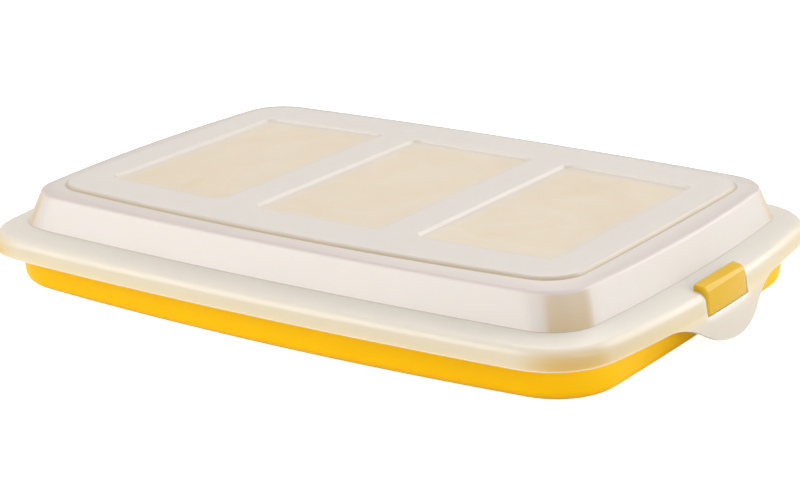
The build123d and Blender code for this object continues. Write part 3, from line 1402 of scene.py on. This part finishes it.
@dataclass
class Tray:
    """A lift-out tray: a rule for Geometry Nodes that sweeps a wall round a rounded path."""

    length: float = 104.0
    width: float = 204.0
    corner: float = 16.0
    height: float = 23.0
    wall: float = 1.2
    rim: float = 3.0
    draft: float = 7.0
    bottom_round: float = 6.0
    pitch: float = 105.0
    seat: float = 2.1
    edge: float = 0.4
    smooth_turn: float = 50.0

    def sizes(self) -> dict[str, float]:
        """The inputs of the tree, in metres.

        Returns:
            The sizes by the names of their inputs.
        """
        lean = math.tan(math.radians(self.draft))
        side = self.wall / math.cos(math.radians(self.draft))
        return {
            "Length": self.length * MM,
            "Width": self.width * MM,
            "Corner": self.corner * MM,
            "Height": self.height * MM,
            "Wall": self.wall * MM,
            "Rim": self.rim * MM,
            "Lean": lean,
            "Side": side * MM,
            "Bottom Round": self.bottom_round * MM,
            "Edge Round": self.edge * MM,
            "Seat": self.seat * MM,
        }

    def build(self, place: TrayPlace, finish: Plastic) -> Object:
        """Makes one tray.

        Args:
            place: where it stands.
            finish: the plastic that it is moulded from.

        Returns:
            The piece that stands for the tray.
        """
        name = f"{place.name.lower()}_tray_moulding"
        tree = bpy.data.node_groups.get(TrayTree.NAME) or TrayTree(self.sizes()).build()
        piece = bpy.data.objects.new(name, bpy.data.meshes.new(name))
        bpy.context.scene.collection.objects.link(piece)
        modifier = piece.modifiers.new("tray_rule", "NODES")
        modifier.node_group = tree
        values = dict(self.sizes(), Middle=place.value * self.pitch * MM, Material=finish.build())
        for item in tree.interface.items_tree:
            if item.item_type == "SOCKET" and item.in_out == "INPUT" and item.name in values:
                modifier[item.identifier] = values[item.name]
        piece.data.update()
        bake_modifiers(piece)
        shade(piece, self.smooth_turn)
        return piece


class TrayTree:
    """The Geometry Nodes tree of a tray, with named inputs for its sizes."""

    NAME = "lift_out_tray"
    ROUND_STEPS = 6
    CORNER_STEPS = 10

    def __init__(self, sizes: dict[str, float]) -> None:
        """Keeps the sizes that the inputs start from."""
        self.sizes = sizes

    def build(self) -> NodeTree:
        """Makes the tree.

        Returns:
            A tree that sweeps the wall's section round the rim and closes the floor.
        """
        tree = bpy.data.node_groups.new(self.NAME, "GeometryNodeTree")
        for name, value in (*self.sizes.items(), ("Middle", 0.0)):
            socket = tree.interface.new_socket(name, in_out="INPUT", socket_type="NodeSocketFloat")
            socket.default_value = value
        tree.interface.new_socket("Material", in_out="INPUT", socket_type="NodeSocketMaterial")
        tree.interface.new_socket("Geometry", in_out="OUTPUT", socket_type="NodeSocketGeometry")
        bench = NodeBench(tree)
        given = bench.add("NodeGroupInput").outputs

        sides = {"Width": given["Length"], "Height": given["Width"]}
        path = bench.add("GeometryNodeCurvePrimitiveQuadrilateral", sides).outputs["Curve"]
        turned = self.rounded(bench, path, given["Corner"], self.CORNER_STEPS)
        section = self.section(bench, given)
        swept = {"Curve": turned, "Profile Curve": section["curve"]}
        wall = bench.add("GeometryNodeCurveToMesh", swept).outputs["Mesh"]

        position = bench.add("GeometryNodeInputPosition").outputs["Position"]
        parts = bench.add("ShaderNodeSeparateXYZ", {"Vector": position})
        centre = bench.add("ShaderNodeCombineXYZ", {"Z": parts.outputs["Z"]})
        place = bench.add("ShaderNodeCombineXYZ", {"X": given["Middle"], "Z": given["Seat"]})
        gathered = {"Selection": section["cap"], "Position": centre.outputs["Vector"]}
        steps = {
            "GeometryNodeSetPosition": gathered,
            "GeometryNodeMergeByDistance": {"Distance": WELD * MM},
            "GeometryNodeFlipFaces": {},
            "GeometryNodeTransform": {"Translation": place.outputs["Vector"]},
            "GeometryNodeRealizeInstances": {},
            "GeometryNodeSetMaterial": {"Material": given["Material"]},
        }
        for kind, feeds in steps.items():
            wall = bench.add(kind, {0: wall, **feeds}).outputs[0]
        bench.add("NodeGroupOutput", {"Geometry": wall})
        return tree

    def rounded(
        self, bench: NodeBench, curve: NodeSocket, radius: NodeSocket, steps: int
    ) -> NodeSocket:
        """Adds rounds of this radius to a curve's corners and returns the rounded curve."""
        feeds = {"Curve": curve, "Radius": radius, "Count": steps}
        return bench.add("GeometryNodeFilletCurve", feeds, mode="POLY").outputs["Curve"]

    def section(self, bench: NodeBench, given: object) -> dict[str, NodeSocket]:
        """Adds the nodes of the wall's section.

        Args:
            bench: the tree's bench.
            given: the outputs of the group's input node.

        Returns:
            The section's curve, and a mask of the points that close the floor.
        """
        lean_at_foot = bench.math("MULTIPLY", given["Height"], given["Lean"])
        foot = bench.math("ADD", given["Rim"], lean_at_foot)
        under_rim = bench.math("SUBTRACT", given["Height"], given["Wall"])
        neck = bench.math("MULTIPLY_ADD", given["Wall"], given["Lean"], given["Rim"])
        mouth = bench.math("ADD", given["Rim"], given["Side"])
        inner_foot = bench.math("MULTIPLY_ADD", under_rim, given["Lean"], mouth)
        inner_round = bench.math("SUBTRACT", given["Bottom Round"], given["Wall"])
        cap = bench.math("ADD", foot, given["Corner"])
        hard, soft = 0.0, given["Edge Round"]
        corners = [
            (cap, hard, hard),
            (foot, hard, given["Bottom Round"]),
            (neck, under_rim, soft),
            (hard, under_rim, soft),
            (hard, given["Height"], soft),
            (mouth, given["Height"], soft),
            (inner_foot, given["Wall"], inner_round),
            (cap, given["Wall"], hard),
        ]
        index = bench.add("GeometryNodeInputIndex").outputs["Index"]
        places = bench.add("GeometryNodeIndexSwitch", data_type="VECTOR")
        radii = bench.add("GeometryNodeIndexSwitch", data_type="FLOAT")
        for switch in (places, radii):
            while len(switch.index_switch_items) < len(corners):
                switch.index_switch_items.new()
            bench.feed(index, switch.inputs["Index"])
        for number, (inward, height, radius) in enumerate(corners):
            point = bench.add("ShaderNodeCombineXYZ", {"X": inward, "Y": height})
            bench.feed(point.outputs["Vector"], places.inputs[str(number)])
            bench.feed(radius, radii.inputs[str(number)])
        mirrored = {0: places.outputs[0], "Scale": -1.0}
        outward = bench.add("ShaderNodeVectorMath", mirrored, operation="SCALE")
        line = bench.add("GeometryNodeMeshLine", {"Count": len(corners)})
        shaped = {"Geometry": line.outputs["Mesh"], "Position": outward.outputs["Vector"]}
        shape = bench.add("GeometryNodeSetPosition", shaped)
        curve = bench.add("GeometryNodeMeshToCurve", {"Mesh": shape.outputs["Geometry"]})
        soft_curve = self.rounded(bench, curve.outputs[0], radii.outputs[0], self.ROUND_STEPS)
        is_end = bench.add("GeometryNodeCurveEndpointSelection").outputs["Selection"]
        keep = bench.add("GeometryNodeCaptureAttribute", {"Geometry": soft_curve}, domain="POINT")
        keep.capture_items.new("BOOLEAN", "Cap")
        bench.feed(is_end, keep.inputs["Cap"])
        return {"curve": keep.outputs["Geometry"], "cap": keep.outputs["Cap"]}


# The studio


@dataclass(frozen=True)
class Lamp:
    """A large square lamp that faces the object, with its place and side in metres."""

    name: str
    place: tuple[float, float, float]
    size: float
    watts: float

    def add(self) -> None:
        """Adds the lamp to the scene."""
        data = bpy.data.lights.new(self.name, "AREA")
        data.shape = "SQUARE"
        data.size = self.size
        data.energy = self.watts
        lamp = bpy.data.objects.new(self.name, data)
        lamp.location = self.place
        lamp.rotation_euler = (-Vector(self.place)).to_track_quat("-Z", "Y").to_euler()
        bpy.context.scene.collection.objects.link(lamp)


@dataclass
class Studio:
    """The pale floor, the white surroundings, the lamps and the camera."""

    lamps: tuple[Lamp, ...] = (
        Lamp("key_lamp", (-1.2, -1.6, 1.1), 1.6, 32.0),
        Lamp("side_lamp", (1.1, 1.5, 0.9), 1.4, 22.0),
        Lamp("right_fill", (2.0, -0.3, 0.35), 1.2, 9.0),
        Lamp("back_lamp", (-0.6, 1.5, 2.1), 1.6, 14.0),
    )
    floor_reach: float = 6.0

    azimuth: float = 34.17
    elevation: float = 18.12
    roll: float = -0.961
    distance: float = 1155.0
    shift_right: float = 0.73
    shift_up: float = -13.87
    aim_height: float = 28.1
    focal_pixels: float = 2274.22
    surround_light: float = 0.75
    floor_glow: float = 0.85

    def build(self) -> None:
        """Makes the floor, the surroundings, the lamps and the camera."""
        self.add_floor()
        self.add_surroundings()
        for lamp in self.lamps:
            lamp.add()
        self.add_camera()

    def add_floor(self) -> None:
        """Adds the pale floor, which keeps the object's shadow."""
        mesh = bmesh.new()
        bmesh.ops.create_grid(mesh, x_segments=1, y_segments=1, size=self.floor_reach)
        material = bpy.data.materials.new("pale_floor")
        material.use_nodes = True
        bench = NodeBench(material.node_tree)
        ray = bench.add("ShaderNodeLightPath")
        glow = bench.math("MULTIPLY", ray.outputs["Is Camera Ray"], self.floor_glow)
        bench.shader(
            {
                "Base Color": (0.9, 0.9, 0.9, 1.0),
                "Roughness": 0.9,
                "Specular IOR Level": 0.0,
                "Emission Color": (1.0, 1.0, 1.0, 1.0),
                "Emission Strength": glow,
            }
        )
        finish_object("studio_floor", mesh, material)

    def add_surroundings(self) -> None:
        """Adds a world that is white to the camera and an even grey light to the object."""
        world = bpy.data.worlds.new("white_surroundings")
        world.use_nodes = True
        bench = NodeBench(world.node_tree)
        ray = bench.add("ShaderNodeLightPath").outputs
        seen = bench.math("MAXIMUM", ray["Is Camera Ray"], ray["Is Transmission Ray"])
        strength = bench.math("MULTIPLY_ADD", seen, 1.0 - self.surround_light, self.surround_light)
        light = bench.add("ShaderNodeBackground", {"Strength": strength})
        bench.add("ShaderNodeOutputWorld", {"Surface": light.outputs["Background"]})
        bpy.context.scene.world = world

    def add_camera(self) -> None:
        """Adds the camera at the photograph's viewing angle."""
        turn, rise = math.radians(self.azimuth), math.radians(self.elevation)
        flat = math.cos(rise)
        back = Vector((math.sin(turn) * flat, -math.cos(turn) * flat, math.sin(rise)))
        right = Vector((math.cos(turn), math.sin(turn), 0.0))
        up = back.cross(right)
        tilt = math.radians(self.roll)
        right, up = (
            right * math.cos(tilt) + up * math.sin(tilt),
            up * math.cos(tilt) - right * math.sin(tilt),
        )
        place = back * self.distance + right * self.shift_right + up * self.shift_up
        place.z += self.aim_height
        data = bpy.data.cameras.new("photo_camera")
        data.sensor_width = SENSOR_WIDTH
        data.lens = self.focal_pixels / PHOTO_WIDTH * SENSOR_WIDTH
        data.clip_start, data.clip_end = 0.05, 20.0
        camera = bpy.data.objects.new("photo_camera", data)
        axes = Matrix((right, up, back)).transposed()
        camera.matrix_world = Matrix.Translation(place * MM) @ axes.to_4x4()
        bpy.context.scene.collection.objects.link(camera)
        bpy.context.scene.camera = camera


def install(piece: Object, body: str, node: str) -> None:
    """Puts a piece on its body in place of its CAD node.

    Args:
        piece: the piece.
        body: the body that carries it.
        node: the CAD node that it stands for.
    """
    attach(piece, body)
    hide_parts(node)
    log.info("%s on %s: %d faces", piece.name, body, len(piece.data.polygons))


def corners(box: tuple[Vector, Vector]) -> list[list[float]]:
    """The corners of a box as plain lists of numbers."""
    return [list(corner) for corner in box]


def main() -> None:
    """Builds the container and the studio, and logs the face count of each piece."""
    logging.basicConfig(level=logging.INFO, format="%(message)s")
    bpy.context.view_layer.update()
    bpy.context.scene.view_settings.view_transform = "Standard"
    base, lid = Base(), Lid()
    install(base.build(YELLOW_BASE, YELLOW_CATCH), "base", "base")
    mouth = base.mouth(lid.rim.crease_height - lid.rib_depth)
    install(lid.build(MILKY_LID, LID_WINDOW, mouth), "lid", "lid")
    for place in TrayPlace:
        node = f"{place.name.lower()}_tray"
        install(Tray().build(place, IVORY_TRAY), node, node)
    Studio().build()
    bpy.context.view_layer.update()


if __name__ == "__main__":
    main()
